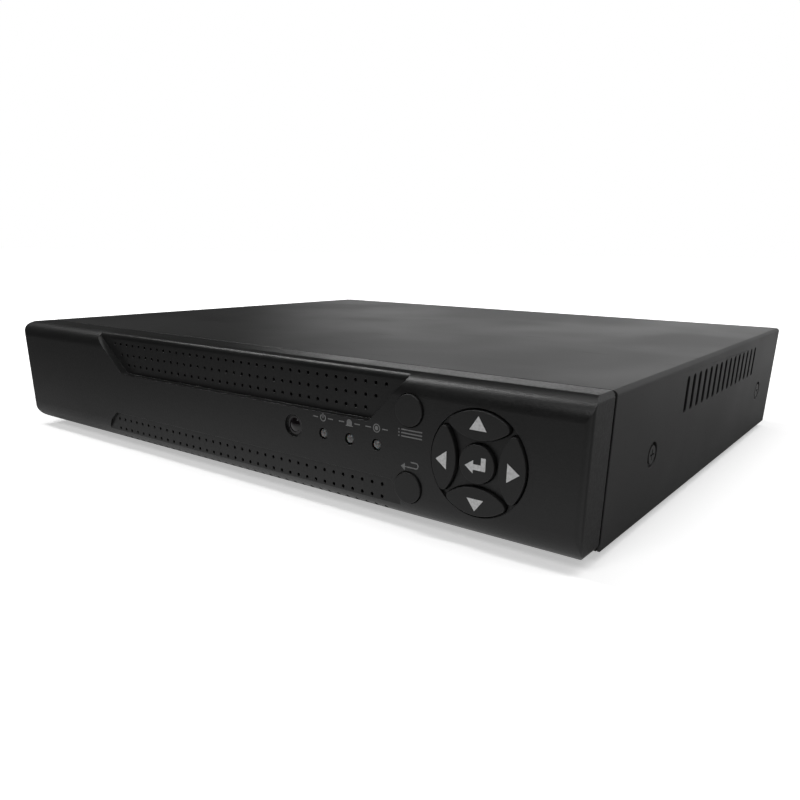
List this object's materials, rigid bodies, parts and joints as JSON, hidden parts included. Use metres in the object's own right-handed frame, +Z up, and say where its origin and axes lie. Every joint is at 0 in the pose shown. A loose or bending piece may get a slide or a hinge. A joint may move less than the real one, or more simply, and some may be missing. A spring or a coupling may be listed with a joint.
{
  "type": "dvr recorder",
  "caption": "Flat black steel video recorder box with a moulded front bezel, grille bands, indicator lamps, round keys and arrow keys, and rear sockets.",
  "frame": {"origin": "middle of the footprint, on the surface that the rubber feet stand on", "axes": "+X to the right seen from the front, +Y from the keypad to the rear sockets, +Z up"},
  "size_m": [0.3, 0.2588, 0.0522],
  "materials": {
    "bezel_plastic": "satin",
    "smoked_plastic": "gloss",
    "lamp_plastic": "satin",
    "key_plastic": "satin",
    "switch_plastic": "matte",
    "switch_metal": "satin",
    "circuit_board": "satin",
    "black_plastic": "matte",
    "zinc_screw": "satin",
    "black_screw": "satin",
    "case_paint": "satin",
    "foot_rubber": "matte",
    "brass": "satin",
    "sink_metal": "satin",
    "capacitor_sleeve": "satin",
    "cell_steel": "satin",
    "header_plastic": "satin",
    "socket_metal": "polished",
    "audio_plastic": "satin",
    "port_blue": "satin",
    "drive_metal": "satin",
    "drive_lid_metal": "brushed",
    "cable_red": "satin",
    "cable_black": "satin",
    "cable_grey": "satin"
  },
  "bodies": {
    "case": {"front_bezel": "bezel_plastic", "ir_window": "smoked_plastic", "power_led": "lamp_plastic", "alarm_led": "lamp_plastic", "record_led": "lamp_plastic", "key_board": "circuit_board", "key_switches": "switch_metal", "ir_receiver": "black_plastic", "key_board_screws": "zinc_screw", "bezel_screws": "zinc_screw", "base_tray": "case_paint", "top_cover": "case_paint", "cover_side_screws": "black_screw", "cover_rear_screws": "black_screw", "rubber_feet": "foot_rubber", "main_board": "circuit_board", "board_standoffs": "brass", "board_screws": "zinc_screw", "main_processor": "black_plastic", "heat_sink": "sink_metal", "memory_chips": "black_plastic", "video_chips": "black_plastic", "capacitors": "capacitor_sleeve", "coin_cell": "cell_steel", "coin_cell_holder": "black_plastic", "board_headers": "header_plastic", "video_sockets": "socket_metal", "video_socket_blocks": "black_plastic", "audio_sockets": "audio_plastic", "vga_port": "port_blue", "hdmi_port": "socket_metal", "lan_port": "socket_metal", "usb_ports": "socket_metal", "power_jack": "black_plastic", "drive_casting": "drive_metal", "drive_lid": "drive_lid_metal", "drive_board": "circuit_board", "drive_screws": "zinc_screw", "drive_data_cable": "cable_red", "drive_power_cable": "cable_black", "front_cable": "cable_grey", "fan_cable": "cable_red", "fan_frame": "black_plastic", "fan_screws": "black_screw"},
    "up_key": {"up_button": "key_plastic", "up_plunger": "switch_plastic"},
    "down_key": {"down_button": "key_plastic", "down_plunger": "switch_plastic"},
    "left_key": {"left_button": "key_plastic", "left_plunger": "switch_plastic"},
    "right_key": {"right_button": "key_plastic", "right_plunger": "switch_plastic"},
    "enter_key": {"enter_button": "key_plastic", "enter_plunger": "switch_plastic"},
    "menu_key": {"menu_button": "key_plastic", "menu_plunger": "switch_plastic"},
    "esc_key": {"esc_button": "key_plastic", "esc_plunger": "switch_plastic"},
    "fan_spin": {"fan_rotor": "black_plastic"}
  },
  "joints": [
    {"name": "up_press", "type": "slide", "parent": "case", "child": "up_key", "axis": [0, 1, 0], "range_m": [0, 0.0005], "stiffness_N_per_m": 400, "springref_m": -0.0004},
    {"name": "down_press", "type": "slide", "parent": "case", "child": "down_key", "axis": [0, 1, 0], "range_m": [0, 0.0005], "stiffness_N_per_m": 400, "springref_m": -0.0004},
    {"name": "left_press", "type": "slide", "parent": "case", "child": "left_key", "axis": [0, 1, 0], "range_m": [0, 0.0005], "stiffness_N_per_m": 400, "springref_m": -0.0004},
    {"name": "right_press", "type": "slide", "parent": "case", "child": "right_key", "axis": [0, 1, 0], "range_m": [0, 0.0005], "stiffness_N_per_m": 400, "springref_m": -0.0004},
    {"name": "enter_press", "type": "slide", "parent": "case", "child": "enter_key", "axis": [0, 1, 0], "range_m": [0, 0.0005], "stiffness_N_per_m": 400, "springref_m": -0.0004},
    {"name": "menu_press", "type": "slide", "parent": "case", "child": "menu_key", "axis": [0, 1, 0], "range_m": [0, 0.0005], "stiffness_N_per_m": 400, "springref_m": -0.0004},
    {"name": "esc_press", "type": "slide", "parent": "case", "child": "esc_key", "axis": [0, 1, 0], "range_m": [0, 0.0005], "stiffness_N_per_m": 400, "springref_m": -0.0004},
    {"name": "fan_turn", "type": "hinge", "parent": "case", "child": "fan_spin", "pos_m": [-0.095, 0.1119, 0.0254], "axis": [0, 1, 0], "continuous": true}
  ]
}
